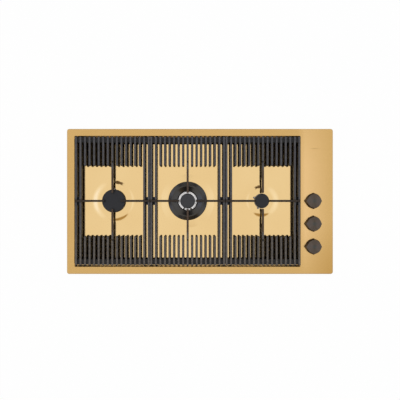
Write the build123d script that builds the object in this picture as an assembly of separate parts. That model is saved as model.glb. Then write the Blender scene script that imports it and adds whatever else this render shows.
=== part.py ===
from build123d import *
from math import acos, cos, degrees, pi, radians, sin
import os

# A built-in gas cooktop: a sheet-steel panel with a recessed floor, three burners, three cast-iron
# grates, and the gas and ignition parts in a tray below. Millimetres, +X to the right, +Y to the
# rear, +Z up. The origin is under the middle of the panel's outline, at the bottom of the base tray.

# panel
panel_length = 935.0
panel_depth = 510.0
panel_corner_r = 8.0
panel_sheet = 1.2
panel_edge_r = 2.0
opening_edge_r = 0.8
lip_height = 5.0            # turned-down lip that covers the edge of the worktop cut-out
left_border = 26.5
rear_border = 24.9
front_border = 25.5
rim_z = 68.0                # top face of the panel

# grates
grate_gap = 1.5             # between two grates
grate_left_gap = 2.6        # the grates stand loosely in the recess: their distances to its walls
grate_right_gap = 1.2
grate_rear_gap = 2.2
grate_front_gap = 5.4
grate_rise = 8.0            # fin tops above the panel
fin_bays = 16               # spaces between the outer bars
fin_width = 7.3
fin_root_width = 8.2        # comb fins are a little wider at the foot
fin_edge_r = 1.6
fin_height = 20.0
fin_end_height = 16.0
fin_end_r = 5.0
comb_opening = 245.3        # clear length between the front and the rear comb
crossbar_width = 19.5
crossbar_set_back = 2.0     # from the fin ends
crossbar_drop = 4.0         # below the fin tops
crossbar_height = 15.0
crossbar_edge_r = 2.0
finger_tip_r = 27.5         # burner centre to finger tip
finger_tip_height = 8.0
finger_level_r = 76.0       # the finger's underside is level as far out as this
finger_root_height = 22.0
finger_notch_at = 137.0
finger_notch_r = 2.8
finger_notch_sink = 1.4
web_length = 28.0           # low web between the two side bars, under the finger's root
web_height = 7.0
leg_length = 9.0
leg_width = 15.0
foot_height = 3.0
foot_inset = 0.5
foot_peg_r = 2.5
foot_peg_height = 8.0
fit_gap = 0.1

# recess
recess_corner_r = 4.0
recess_drop = 32.0          # floor below the panel's top
tray_sheet = 1.0
tray_flange = 6.0
tray_bend_r = 3.0
seat_height = 4.0           # raised ring-shaped seats round the burners
seat_bend_r = 45.0          # the seats rise in a soft wave

# base tray and worktop
rim_overhang_x = 15.0
rim_overhang_y = 17.0
base_sheet = 0.8
base_corner_r = 6.0
base_bend_r = 2.0
seal_width = 8.0
seal_gap = 0.3
worktop_thickness = 30.0

# burners
gasket_thickness = 0.8
flange_thickness = 3.2
cup_wall = 2.5
cup_foot_z = 7.0
cup_floor_z = 24.0
duct_z = 16.0
duct_r = 3.0
boss_r = 7.0
boss_length = 10.0
cup_hole_gap = 0.5
crown_plate = 3.0
crown_wall = 6.5
crown_wall_height = 6.5
port_width = 2.0
port_depth = 4.5
venturi_r = 7.5
venturi_wall = 2.0
venturi_drop = 10.0
skirt_height = 3.5
skirt_wall = 2.0
cap_height = 7.0
cap_edge_r = 3.2
cap_rib_height = 3.0
cap_rib_wall = 2.0
small_gap = 0.4
spark_r = 2.6
spark_pin_r = 0.9
spark_pin_height = 2.5
spark_foot_drop = 6.0
ear_r = 4.0
sensor_r = 2.0
head_height = 50.5          # top of the ceramic of a spark electrode
injector_hex_r = 4.0
injector_head = 6.0
injector_hole_r = 0.6
injector_thread_length = 6.0

# each burner: sizes, how far it stands to the right of its grate's middle, the angle of its gas inlet,
# and polar places of its spark electrode and sensor
burners = {
    "left": {
        "bay": 0, "aside": 2.4, "barrel_r": 27.0, "flange_r": 36.0, "crown_r": 32.5, "cap_r": 41.0,
        "seat_in": 59.0, "seat_out": 75.0, "inlet": -90.0, "spark": (86.0, 40.0), "sensor": (-35.0, 37.5),
        "screw_r": 31.5, "ports": 30,
    },
    "wok": {
        "bay": 1, "aside": 0.0, "barrel_r": 45.0, "flange_r": 60.5, "crown_r": 59.5, "cap_r": 68.5,
        "seat_in": 71.0, "seat_out": 98.0, "inlet": -90.0, "spark": (-68.0, 29.5), "sensor": (-115.0, 29.5),
        "screw_r": 52.5, "ports": 52,
    },
    "right": {
        "bay": 2, "aside": -0.9, "barrel_r": 18.0, "flange_r": 26.6, "crown_r": 20.0, "cap_r": 24.9,
        "seat_in": 43.0, "seat_out": 59.0, "inlet": 0.0, "spark": (-117.0, 28.0), "sensor": (156.0, 28.5),
        "screw_r": 22.4, "ports": 20,
    },
}

# the wide centre burner's own rings
wok_ring_in = 35.8
wok_ring_crest = 54.0
wok_ring_rise = 7.8
wok_inner_rise = 2.0
wok_mid_wall_in = 36.6
wok_mid_wall_out = 42.0
wok_core_in = 19.0
wok_core_out = 33.4
wok_core_drop = 1.6         # the toothed ring's top below the seat of the centre cap
wok_seat_r = 25.4
wok_centre_cap_r = 26.2
wok_mid_ports = 30
wok_core_ports = 36
wok_core_port_width = 1.1
wok_core_port_in = 28.2
wok_bridge_width = 3.6
wok_bridge_in = 29.5
wok_bridges = (90.0, 0.0, 180.0, -20.0)
wok_pocket_r = 3.6

# taps and knobs
knob_inset = 45.2           # from the recess to the knobs' centre line
knob_outset = 69.0          # from there to the panel's right end
knob_pitch = 80.0
tap_names = ("rear", "middle", "front")
tap_burner = {"rear": "right", "middle": "wok", "front": "left"}
manifold_size = 18.0
manifold_wall = 1.5
manifold_z = 18.0
manifold_front = 34.0       # beyond the front tap
manifold_gap = 17.0         # from its end to the rear wall
tap_size = 24.0
tap_top_z = 56.0
plug_r = 6.9
plug_foot_z = 31.0
plug_top_z = 46.0
bore_depth_gap = 1.0
bonnet_thickness = 2.5
rail_sheet = 1.5
rail_width = 36.0
rail_foot = 8.0
rail_end = 28.0
spindle_r = 4.0
spindle_flat = 2.8          # from the axis to the flat
spindle_foot_z = 40.5
spindle_hole_gap = 0.6
knob_travel = 3.5
collar_r = 6.3
collar_height = 1.6
spring_in_gap = 0.4
spring_out_gap = 0.3
switch_r = 10.0
switch_height = 3.6
switch_gap = 0.6
panel_hole_r = 10.0
knob_seal_flange = 3.0
knob_seal_lip = 1.5
knob_seal_bore_r = 5.2
knob_r = 26.5
knob_pointer = 32.6
knob_cusp = 28.8
knob_tip_r = 1.2
knob_gap = 4.6              # under the knob, for its push
knob_top_rise = 22.0
knob_top_scale = 0.89
knob_edge_r = 1.0
knob_hollow_r = 18.5
knob_crown = 7.5
knob_hub_r = 7.5
knob_hub_recess = 1.6
spindle_in_knob = 11.5
magnet_r = 7.5
magnet_length = 23.0
tap_port_z = 40.0
tap_screw_spread = 9.0
tap_screw_r = 1.6
tap_screw_depth = 12.0

# pipes, nuts and leads
pipe_r = 4.0
pipe_bend_r = 10.0
pipe_turn_r = 15.0
pipe_drop_inset = 21.0      # from the tap's face to the pipe's downward run
nut_r = 7.5
nut_length = 8.0
nut_gap = 0.1
lead_r = 1.1
spark_lead_r = 1.5
lead_lift = 0.2
lead_bend_r = 12.0
lead_rise_r = 6.0
lead_out = 10.0
# the leads' lanes on the base, measured from the burners' common axis
sensor_lanes = {"rear": 32.1, "middle": -61.9, "front": -101.9}
spark_lanes = {"right": 58.1, "wok": 73.1, "left": 88.1}
spark_round_x = 44.95       # the right burner's spark lead goes round it at these distances
spark_round_y = 46.9
harness_level = 40.0        # how far the switch wire runs level, then falls to its heights
harness_fall = 30.0
harness_heights = (44.0, 20.0, 12.0)
harness_turn = 25.0
harness_bends = (14.0, 14.0, 10.0, 6.0)

# gas inlet
inlet_thread_r = 10.48      # outside radius of a half-inch pipe thread
inlet_thread_length = 13.0
inlet_collar_r = 11.0
inlet_collar_out = 1.0
inlet_hex_r = 14.0
inlet_bore_r = 6.0
inlet_chamfer = 1.0
wall_hole_gap = 0.3

# electrics
module_inset_x = 78.5       # from the knobs' centre line
module_inset_y = 62.2       # from the rear wall
module_length = 70.0
module_width = 50.0
module_height = 22.0
module_lead_pitch = 10.0
terminal_outset_x = 31.5    # from the knobs' centre line
terminal_inset_y = 39.2     # from the rear wall
terminal_length = 22.0
terminal_width = 30.0
terminal_height = 16.0
entry_z = 22.0
entry_bore_r = 4.2
entry_body_r = 7.9
entry_flange_r = 10.5
entry_flange = 3.0
entry_nut = 6.0

# fixings
screw_r = 1.9
screw_head_r = 3.6
screw_head = 2.2
screw_length = 6.0
bracket_width = 20.0
bracket_height = 12.0
bracket_sheet = 1.2
bracket_z = 46.0
bracket_asides = (-22.85, -1.85, 19.15)     # from the middle of each grate
clamp_inset = 272.5         # from the ends of the base tray
clamp_width = 28.0
clamp_height = 40.0
clamp_sheet = 1.6
clamp_foot = 10.0
clamp_foot_z = 12.0
clamp_screw_r = 1.9

# worked out
recess_left = -panel_length / 2 + left_border
recess_right = panel_length / 2 - knob_outset - knob_inset
recess_length = recess_right - recess_left
recess_x = (recess_left + recess_right) / 2
recess_rear = panel_depth / 2 - rear_border
recess_width = panel_depth - rear_border - front_border
recess_y = recess_rear - recess_width / 2
grate_length = (recess_length - grate_left_gap - grate_right_gap - 2 * grate_gap) / 3
grate_depth = recess_width - grate_rear_gap - grate_front_gap
axis_y = recess_rear - grate_rear_gap - grate_depth / 2
floor_z = rim_z - recess_drop
seat_z = floor_z + seat_height
under_panel_z = rim_z - panel_sheet
worktop_z = rim_z - lip_height
base_length = panel_length - 2 * rim_overhang_x
base_depth = panel_depth - 2 * rim_overhang_y
base_rear = base_depth / 2
base_in_y = base_rear - base_sheet
grate_top_z = rim_z + grate_rise
fin_pitch = (grate_length - fin_width) / fin_bays
side_bar_x = fin_pitch * fin_bays / 2
inner_bar_x = side_bar_x - fin_pitch
grate_half = grate_depth / 2
comb_in = comb_opening / 2
crossbar_out = grate_half - crossbar_set_back
crossbar_in = crossbar_out - crossbar_width
crossbar_z = grate_top_z - crossbar_drop
flange_z = seat_z + gasket_thickness
crown_z = flange_z + flange_thickness
ring_top_z = crown_z + crown_plate + crown_wall_height
knob_x = recess_right + knob_inset
manifold_top_z = manifold_z + manifold_size / 2
bonnet_top_z = tap_top_z + bonnet_thickness
collar_z = tap_top_z - collar_height
rail_top_z = bonnet_top_z + rail_sheet
knob_z = rim_z + knob_gap
knob_top_z = rim_z + knob_top_rise
hub_z = knob_z + knob_hub_recess
spindle_top_z = hub_z + spindle_in_knob
module_x = knob_x - module_inset_x
module_y = base_in_y - module_inset_y
terminal_x = knob_x + terminal_outset_x
terminal_y = base_in_y - terminal_inset_y
clamp_xs = (clamp_inset - base_length / 2, base_length / 2 - clamp_inset)


def grate_x(bay):
    return recess_left + grate_left_gap + grate_length / 2 + bay * (grate_length + grate_gap)


def bracket_xs():
    return [grate_x(bay) + aside for bay, aside in enumerate(bracket_asides)]


def burner_x(burner):
    return grate_x(burner["bay"]) + burner["aside"]


def tap_y(name):
    return axis_y - tap_names.index(name) * knob_pitch


def polar(angle, r):
    return r * cos(radians(angle)), r * sin(radians(angle))


def block(x0, x1, y0, y1, z0, z1):
    return Pos((x0 + x1) / 2, (y0 + y1) / 2, (z0 + z1) / 2) * Box(x1 - x0, y1 - y0, z1 - z0)


def rod(r, z0, z1, x=0.0, y=0.0):
    return Pos(x, y, (z0 + z1) / 2) * Cylinder(r, z1 - z0)


def rod_x(r, x0, x1, y, z):
    return Pos((x0 + x1) / 2, y, z) * Rot(0, 90, 0) * Cylinder(r, x1 - x0)


def rod_y(r, x, y0, y1, z):
    return Pos(x, (y0 + y1) / 2, z) * Rot(90, 0, 0) * Cylinder(r, y1 - y0)


def hex_z(r, z0, z1, x=0.0, y=0.0):
    return Pos(x, y, z0) * extrude(RegularPolygon(r, 6), amount=z1 - z0)


def plate(length, depth, corner, z0, z1, x=0.0, y=0.0):
    return Pos(x, y, z0) * extrude(RectangleRounded(length, depth, corner), amount=z1 - z0)


def rounded_outline(points, rounds):
    # a closed outline in its own plane, with the corners in rounds turned to arcs
    face = make_face(Polyline(*points, close=True)).face()
    for index, r in rounds.items():
        corner = Vector(*points[index])
        near = face.vertices().sort_by_distance(corner)[0]
        face = face.fillet_2d(r, [near])
    return face


def turned(points, rounds=None):
    # a solid of revolution about Z from an outline of (radius, height) points
    return revolve(Plane.XZ * rounded_outline(points, rounds or {}), Axis.Z)


def bent_rod(points, bends, r):
    # a round rod along straight runs joined by arcs
    path = FilletPolyline(*points, radius=bends)
    solid = sweep(Plane(origin=path @ 0, z_dir=path % 0) * Circle(r), path=path)
    print("rod of radius", r, "length", round(path.length, 1), "volume ratio",
          round(solid.volume / (pi * r * r * path.length), 3))
    return solid


def group(solids):
    return Compound(children=list(solids))


# ---- sheet metal ----

def top_panel():
    skin = plate(panel_length, panel_depth, panel_corner_r, worktop_z, rim_z)
    skin = fillet(skin.faces().sort_by(Axis.Z)[-1].edges(), panel_edge_r)
    inside = plate(panel_length - 2 * panel_sheet, panel_depth - 2 * panel_sheet,
                   panel_corner_r - panel_sheet, worktop_z, under_panel_z)
    opening = plate(recess_length, recess_width, recess_corner_r, worktop_z, rim_z, recess_x, recess_y)
    panel = skin - inside - opening
    rim_edges = panel.faces().sort_by(Axis.Z)[-1].inner_wires()[0].edges()
    panel = fillet(rim_edges, opening_edge_r)
    for name in tap_names:
        panel -= rod(panel_hole_r, worktop_z, rim_z, knob_x, tap_y(name))
    return panel


def burner_tray():
    shell = plate(recess_length + 2 * tray_sheet, recess_width + 2 * tray_sheet,
                  recess_corner_r + tray_sheet, floor_z - tray_sheet, under_panel_z)
    shell = fillet(shell.faces().sort_by(Axis.Z)[0].edges(), tray_bend_r + tray_sheet)
    hollow = plate(recess_length, recess_width, recess_corner_r, floor_z, rim_z)
    hollow = fillet(hollow.faces().sort_by(Axis.Z)[0].edges(), tray_bend_r)
    flange = plate(recess_length + 2 * tray_flange, recess_width + 2 * tray_flange,
                   recess_corner_r + tray_flange, under_panel_z - tray_sheet, under_panel_z)
    tray = Pos(recess_x, recess_y, 0) * (shell + flange - hollow)
    for burner in burners.values():
        slope = burner["seat_out"] - burner["seat_in"]
        raised = turned(
            [(0, floor_z - tray_sheet), (burner["seat_out"] + slope, floor_z - tray_sheet),
             (burner["seat_out"] + slope, floor_z), (burner["seat_out"], floor_z),
             (burner["seat_in"], seat_z), (0, seat_z)],
            {3: seat_bend_r, 4: seat_bend_r})
        place = Pos(burner_x(burner), axis_y, 0)
        tray = tray + place * raised - place * Pos(0, 0, -tray_sheet) * raised
        tray -= place * rod(burner["barrel_r"] + cup_hole_gap, floor_z - tray_sheet, seat_z)
        for part, r in (("spark", spark_r), ("sensor", sensor_r)):
            angle, distance = burner[part]
            if distance > burner["barrel_r"]:
                x, y = polar(angle, distance)
                tray -= place * rod(r + small_gap, floor_z - tray_sheet, seat_z, x, y)
        for x, y in screw_places(burner):
            tray -= place * rod(screw_r, floor_z - tray_sheet, seat_z, x, y)
    return tray


def worktop_seal():
    margin = 2 * (panel_sheet + seal_gap)
    outer = plate(panel_length - margin, panel_depth - margin, panel_corner_r - panel_sheet - seal_gap,
                  worktop_z, under_panel_z)
    inner = plate(panel_length - margin - 2 * seal_width, panel_depth - margin - 2 * seal_width,
                  base_corner_r, worktop_z, under_panel_z)
    return outer - inner


def base_tray():
    shell = plate(base_length, base_depth, base_corner_r, 0, under_panel_z)
    shell = fillet(shell.faces().sort_by(Axis.Z)[0].edges(), base_bend_r)
    hollow = plate(base_length - 2 * base_sheet, base_depth - 2 * base_sheet,
                   base_corner_r - base_sheet, base_sheet, under_panel_z)
    tray = shell - hollow
    tray -= rod_y(inlet_collar_r + wall_hole_gap, knob_x, base_in_y - 1, base_rear + 1, manifold_z)
    tray -= rod_y(entry_body_r + wall_hole_gap, terminal_x, base_in_y - 1, base_rear + 1, entry_z)
    for side in (-1, 1):
        y = side * base_rear
        for x in bracket_xs():
            tray -= rod_y(screw_r + fit_gap, x, y - 2, y + 2, bracket_z + bracket_height / 2)
        for x in clamp_xs:
            tray -= rod_y(clamp_screw_r, x, y - 2, y + 2, clamp_screw_z())
    return tray


def fixing_brackets():
    # channels welded to the walls of the recess, which the base tray is screwed to
    solids = []
    for side in (-1, 1):
        near = recess_y + side * (recess_width / 2 + tray_sheet)
        far = side * base_in_y
        low, high = min(near, far), max(near, far)
        for x in bracket_xs():
            z1 = bracket_z + bracket_height
            channel = block(x - bracket_width / 2, x + bracket_width / 2, low, high, bracket_z, z1)
            inside_low = low if side > 0 else low + bracket_sheet
            inside_high = high - bracket_sheet if side > 0 else high
            channel -= block(x - bracket_width / 2 + bracket_sheet, x + bracket_width / 2 - bracket_sheet,
                             inside_low, inside_high, bracket_z, z1)
            channel -= rod_y(screw_r, x, low - 1, high + 1, bracket_z + bracket_height / 2)
            solids.append(channel)
    return group(solids)


def base_screws():
    solids = []
    for side in (-1, 1):
        y = side * base_rear
        y_in = side * (base_in_y - bracket_sheet - 2.0)
        y_out = y + side * screw_head
        for x in bracket_xs():
            z = bracket_z + bracket_height / 2
            shank = rod_y(screw_r, x, min(y, y_in), max(y, y_in), z)
            head = rod_y(screw_head_r, x, min(y, y_out), max(y, y_out), z)
            solids.append(shank + head)
    return group(solids)


def clamp_screw_z():
    return clamp_foot_z + clamp_height * 0.6


def worktop_clamps():
    solids = []
    for side in (-1, 1):
        y0 = side * base_rear
        y1 = y0 + side * clamp_sheet
        y2 = y1 + side * clamp_foot
        for x in clamp_xs:
            x0, x1 = x - clamp_width / 2, x + clamp_width / 2
            wall = block(x0, x1, min(y0, y1), max(y0, y1), clamp_foot_z, clamp_foot_z + clamp_height)
            foot = block(x0, x1, min(y0, y2), max(y0, y2), clamp_foot_z, clamp_foot_z + clamp_sheet)
            clamp = wall + foot
            clamp -= rod_y(clamp_screw_r + fit_gap, x, min(y0, y1) - 1, max(y0, y1) + 1, clamp_screw_z())
            clamp -= rod(clamp_screw_r, clamp_foot_z, clamp_foot_z + clamp_sheet, x, (y1 + y2) / 2)
            solids.append(clamp)
    return group(solids)


def clamp_screws():
    # one screw holds each clamp to the base tray, one presses up against the worktop
    solids = []
    for side in (-1, 1):
        y0 = side * base_rear
        y1 = y0 + side * clamp_sheet
        y_in = y0 - side * screw_length
        y_head = y1 + side * screw_head
        y_mid = y1 + side * clamp_foot / 2
        for x in clamp_xs:
            z = clamp_screw_z()
            shank = rod_y(clamp_screw_r, x, min(y1, y_in), max(y1, y_in), z)
            head = rod_y(screw_head_r, x, min(y1, y_head), max(y1, y_head), z)
            solids.append(shank + head)
            post = rod(clamp_screw_r, clamp_foot_z, worktop_z - worktop_thickness, x, y_mid)
            grip = rod(screw_head_r, clamp_foot_z - screw_head, clamp_foot_z, x, y_mid)
            solids.append(post + grip)
    return group(solids)


# ---- grates ----

def fin(length, side_outline, side_rounds, width, root):
    # a cast bar along Y from y = 0 to length: tapered section, rounded top edges, round ends in plan
    low = min(z for y, z in side_outline)
    section = rounded_outline(
        [(-root / 2, low), (root / 2, low), (width / 2, grate_top_z), (-width / 2, grate_top_z)],
        {2: fin_edge_r, 3: fin_edge_r})
    bar = Pos(0, length, 0) * extrude(Plane.XZ * section, amount=length)
    widest = max(width, root)
    side = extrude(Plane.YZ * rounded_outline(side_outline, side_rounds), amount=widest, both=True)
    plan = Pos(0, length / 2, low) * extrude(Rot(0, 0, 90) * SlotOverall(length, widest), amount=grate_top_z)
    return bar & side & plan


def comb_fin():
    length = grate_half - comb_in
    foot = grate_top_z - fin_height
    return fin(length,
               [(0, grate_top_z - fin_end_height), (length - crossbar_width, foot), (length, foot),
                (length, grate_top_z), (0, grate_top_z)],
               {0: fin_end_r / 2, 3: fin_end_r * 0.6, 4: fin_end_r}, fin_width, fin_root_width)


def side_bar():
    foot = grate_top_z - fin_height
    return fin(grate_depth,
               [(0, foot), (grate_depth, foot), (grate_depth, grate_top_z), (0, grate_top_z)],
               {2: fin_end_r * 0.6, 3: fin_end_r * 0.6}, fin_width, fin_width)


def finger(length):
    # from the tip at y = 0 outwards, deeper towards its root
    level = finger_level_r - finger_tip_r
    tip = grate_top_z - finger_tip_height
    root = grate_top_z - finger_root_height
    drop_end = level + 2 * (tip - root)
    return fin(length,
               [(0, tip), (level, tip), (drop_end, root), (length, root),
                (length, grate_top_z), (0, grate_top_z)],
               {0: 2.0, 5: fin_end_r * 0.6}, fin_width, fin_width - 1.0)


def grate():
    solids = []
    comb = comb_fin()
    bar = side_bar()
    for i in range(-(fin_bays // 2), fin_bays // 2 + 1):
        x = i * fin_pitch
        if abs(i) >= fin_bays // 2 - 1:
            solids.append(Pos(x, -grate_half, 0) * bar)
        elif i:
            solids.append(Pos(x, comb_in, 0) * comb)
            solids.append(Rot(0, 0, 180) * Pos(x, comb_in, 0) * comb)
    long_finger = finger(grate_half - finger_tip_r)
    long_finger -= Pos(0, finger_notch_at - finger_tip_r, grate_top_z - finger_notch_sink) * (
        Rot(0, 90, 0) * Cylinder(finger_notch_r, 2 * fin_width))
    short_finger = finger(side_bar_x - finger_tip_r)
    for turn in (0, 180):
        solids.append(Rot(0, 0, turn) * Pos(0, finger_tip_r, 0) * long_finger)
        solids.append(Rot(0, 0, turn + 90) * Pos(0, finger_tip_r, 0) * short_finger)
        across = block(-side_bar_x, side_bar_x, crossbar_in, crossbar_out,
                       crossbar_z - crossbar_height, crossbar_z)
        across = fillet(across.edges().filter_by(Axis.X).group_by(Axis.Z)[-1], crossbar_edge_r)
        solids.append(Rot(0, 0, turn) * across)
        web_z = grate_top_z - finger_root_height
        solids.append(Rot(0, 0, turn) * block(inner_bar_x, side_bar_x, -web_length / 2, web_length / 2,
                                              web_z, web_z + web_height))
    leg_y = (crossbar_in + crossbar_out) / 2
    for x in (-inner_bar_x, inner_bar_x):
        for y in (-leg_y, leg_y):
            leg = block(x - leg_length / 2, x + leg_length / 2, y - leg_width / 2, y + leg_width / 2,
                        floor_z + foot_height, crossbar_z - crossbar_height / 2)
            solids.append(leg)
    casting = Part() + solids
    for x in (-inner_bar_x, inner_bar_x):
        for y in (-leg_y, leg_y):
            z = floor_z + foot_height
            casting -= rod(foot_peg_r + fit_gap, z, z + foot_peg_height + fit_gap, x, y)
    return casting


def grate_feet():
    solids = []
    leg_y = (crossbar_in + crossbar_out) / 2
    z = floor_z + foot_height
    for x in (-inner_bar_x, inner_bar_x):
        for y in (-leg_y, leg_y):
            half_x = leg_length / 2 - foot_inset
            half_y = leg_width / 2 - foot_inset
            pad = block(x - half_x, x + half_x, y - half_y, y + half_y, floor_z, z)
            solids.append(pad + rod(foot_peg_r, z, z + foot_peg_height, x, y))
    return group(solids)


# ---- burners, each made about its own axis ----

def screw_places(burner):
    # two screws through the cup's flange, a quarter turn from the gas inlet
    return [polar(burner["inlet"] + turn, burner["screw_r"]) for turn in (130.0, 310.0)]


def burner_cup(burner):
    barrel, flange = burner["barrel_r"], burner["flange_r"]
    cup = turned([(0, cup_foot_z), (barrel, cup_foot_z), (barrel, flange_z), (flange, flange_z),
                  (flange, crown_z), (barrel - cup_wall, crown_z), (barrel - cup_wall, cup_floor_z),
                  (0, cup_floor_z)])
    reach = barrel + boss_length
    boss = rod_x(boss_r, barrel - cup_wall, reach, 0, duct_z)
    duct = rod_x(duct_r, 0, reach, 0, duct_z)
    turn = Rot(0, 0, burner["inlet"])
    cup = cup + turn * boss - turn * duct - rod(duct_r, duct_z, cup_floor_z)
    for part, r in (("spark", spark_r), ("sensor", sensor_r)):
        angle, distance = burner[part]
        x, y = polar(angle, distance)
        if distance > barrel:
            ear = rod(ear_r, flange_z, crown_z, distance)
            ear += block(barrel, distance, -ear_r, ear_r, flange_z, crown_z)
            cup += Rot(0, 0, angle) * ear
            cup -= rod(r + fit_gap, flange_z, crown_z, x, y)
        else:
            cup -= rod(r + fit_gap, cup_foot_z, cup_floor_z, x, y)
    for x, y in screw_places(burner):
        cup -= rod(screw_r + fit_gap, flange_z, crown_z, x, y)
        cup -= rod(screw_head_r + fit_gap, crown_z - screw_head, crown_z, x, y)
    return cup


def burner_gasket(burner):
    gasket = rod(burner["flange_r"] - 1.0, seat_z, flange_z)
    gasket -= rod(burner["barrel_r"] + cup_hole_gap, seat_z, flange_z)
    for part in ("spark", "sensor"):
        x, y = polar(*burner[part])
        gasket -= rod(spark_r + small_gap, seat_z, flange_z, x, y)
    for x, y in screw_places(burner):
        gasket -= rod(screw_r + fit_gap, seat_z, flange_z, x, y)
    return gasket


def burner_screws(burner):
    solids = []
    for x, y in screw_places(burner):
        shank = rod(screw_r, floor_z - tray_sheet, crown_z - screw_head, x, y)
        solids.append(shank + rod(screw_head_r, crown_z - screw_head, crown_z, x, y))
    return solids


def ports(count, r_in, r_out, top, depth, width):
    step = 360.0 / count
    return [Rot(0, 0, i * step) * block(r_in, r_out, -width / 2, width / 2, top - depth, top + depth)
            for i in range(count)]


def crown_hub(burner):
    # base plate with its locating skirt and the mixing tube
    skirt = burner["barrel_r"] - cup_wall - small_gap
    plate_top = crown_z + crown_plate
    tube = venturi_r + venturi_wall
    return turned([(venturi_r, crown_z - venturi_drop), (tube, crown_z - venturi_drop), (tube, crown_z),
                   (skirt - skirt_wall, crown_z), (skirt - skirt_wall, crown_z - skirt_height),
                   (skirt, crown_z - skirt_height), (skirt, crown_z), (burner["crown_r"], crown_z),
                   (burner["crown_r"], plate_top), (venturi_r, plate_top)])


def small_crown(burner):
    r = burner["crown_r"]
    crown = crown_hub(burner)
    crown += rod(r, crown_z + crown_plate, ring_top_z) - rod(r - crown_wall, crown_z + crown_plate, ring_top_z)
    crown -= ports(burner["ports"], r - crown_wall - 1, r + 1, ring_top_z, port_depth, port_width)
    return crown


def small_cap(burner):
    r = burner["cap_r"]
    rib = burner["crown_r"] - crown_wall - small_gap
    top = ring_top_z + cap_height
    rib_z = ring_top_z - cap_rib_height
    return turned([(0, ring_top_z), (rib - cap_rib_wall, ring_top_z), (rib - cap_rib_wall, rib_z),
                   (rib, rib_z), (rib, ring_top_z), (r, ring_top_z),
                   (r, top - 0.6), (r * 0.6, top), (0, top)],
                  {5: 0.8, 6: cap_edge_r})


def wok_crown(burner):
    r = burner["crown_r"]
    plate_top = crown_z + crown_plate
    core_top = ring_top_z - wok_core_drop
    crown = crown_hub(burner)
    for r_out, r_in in ((r, r - crown_wall), (wok_mid_wall_out, wok_mid_wall_in)):
        crown += rod(r_out, plate_top, ring_top_z) - rod(r_in, plate_top, ring_top_z)
    crown += turned([(wok_core_in, plate_top), (wok_core_out, plate_top), (wok_core_out, core_top),
                     (wok_seat_r, core_top), (wok_seat_r, ring_top_z), (wok_core_in, ring_top_z)],
                    {2: 0.8})
    crown -= ports(burner["ports"], r - crown_wall - 1, r + 1, ring_top_z, port_depth, port_width)
    crown -= ports(wok_mid_ports, wok_mid_wall_in - 1, wok_mid_wall_out + 1, ring_top_z, port_depth, port_width)
    crown -= ports(wok_core_ports, wok_core_port_in, wok_core_out + 1, core_top, port_depth / 2,
                   wok_core_port_width)
    for angle in wok_bridges:
        crown -= Rot(0, 0, angle) * block(wok_bridge_in, wok_core_out + 1, -wok_bridge_width / 2,
                                          wok_bridge_width / 2, plate_top, ring_top_z)
    for part in ("spark", "sensor"):
        angle, distance = burner[part]
        pocket = rod(wok_pocket_r, crown_z, ring_top_z, distance)
        pocket += block(distance, wok_core_out + 1, -wok_pocket_r, wok_pocket_r, plate_top, ring_top_z)
        crown -= Rot(0, 0, angle) * pocket
    return crown


def wok_ring_cap(burner):
    r = burner["cap_r"]
    z = ring_top_z
    wall = burner["crown_r"] + small_gap
    rib = wok_mid_wall_out + small_gap
    crest = z + wok_ring_rise
    rib_z = z - cap_rib_height
    return turned([(wok_ring_in, z), (rib, z), (rib, rib_z), (rib + cap_rib_wall, rib_z),
                   (rib + cap_rib_wall, z), (wall, z), (wall, z - 2.0), (r, z - 2.0), (r, z + 2.5),
                   (wok_ring_crest, crest), (wok_ring_in, z + wok_inner_rise)],
                  {7: 0.8, 8: 2.5, 9: 9.0, 10: 1.5})


def wok_centre_cap():
    rib = wok_core_in - small_gap
    r = wok_centre_cap_r
    z = ring_top_z
    top = z + cap_height - 0.5
    return turned([(0, z), (rib - cap_rib_wall, z), (rib - cap_rib_wall, z - cap_rib_height),
                   (rib, z - cap_rib_height), (rib, z), (r, z), (r, top - 0.6), (r * 0.6, top), (0, top)],
                  {5: 0.8, 6: 2.6})


def injector():
    body = hex_z(injector_hex_r, cup_floor_z, cup_floor_z + injector_head)
    body += rod(duct_r - fit_gap, cup_floor_z - injector_thread_length, cup_floor_z)
    return body - rod(injector_hole_r, cup_floor_z - injector_thread_length, cup_floor_z + injector_head)


def spark_foot_z(burner):
    # the ceramic starts under the cup's flange, or under the whole cup where it stands inside it
    inside = burner["spark"][1] < burner["barrel_r"]
    return cup_foot_z if inside else cup_floor_z


def spark_insulator(burner):
    x, y = polar(*burner["spark"])
    z0 = spark_foot_z(burner)
    shell = rod(spark_r, z0, head_height, x, y)
    shell = chamfer(shell.faces().sort_by(Axis.Z)[-1].edges(), 0.8)
    return shell - rod(spark_pin_r, z0, head_height, x, y)


def spark_pin(burner):
    x, y = polar(*burner["spark"])
    z0 = spark_foot_z(burner)
    pin = rod(spark_pin_r, z0, head_height + spark_pin_height, x, y)
    return pin + rod(spark_lead_r, z0 - min(spark_foot_drop, z0 - base_sheet - 1.0), z0, x, y)


def thermocouple(burner):
    x, y = polar(*burner["sensor"])
    z0 = spark_foot_z(burner) - 1.5
    tip = rod(sensor_r, z0, head_height, x, y)
    return fillet(tip.faces().sort_by(Axis.Z)[-1].edges(), 1.2)


# ---- gas line ----

def gas_manifold():
    half = manifold_size / 2
    y0 = tap_y(tap_names[-1]) - manifold_front
    y1 = base_in_y - manifold_gap
    tube = block(knob_x - half, knob_x + half, y0, y1, manifold_z - half, manifold_z + half)
    tube = fillet(tube.edges().filter_by(Axis.Y), 2.0)
    inner = half - manifold_wall
    tube -= block(knob_x - inner, knob_x + inner, y0 + manifold_wall, y1,
                  manifold_z - inner, manifold_z + inner)
    for name in tap_names:
        tube -= rod(duct_r, manifold_z, manifold_top_z, knob_x, tap_y(name))
    return tube


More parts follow.
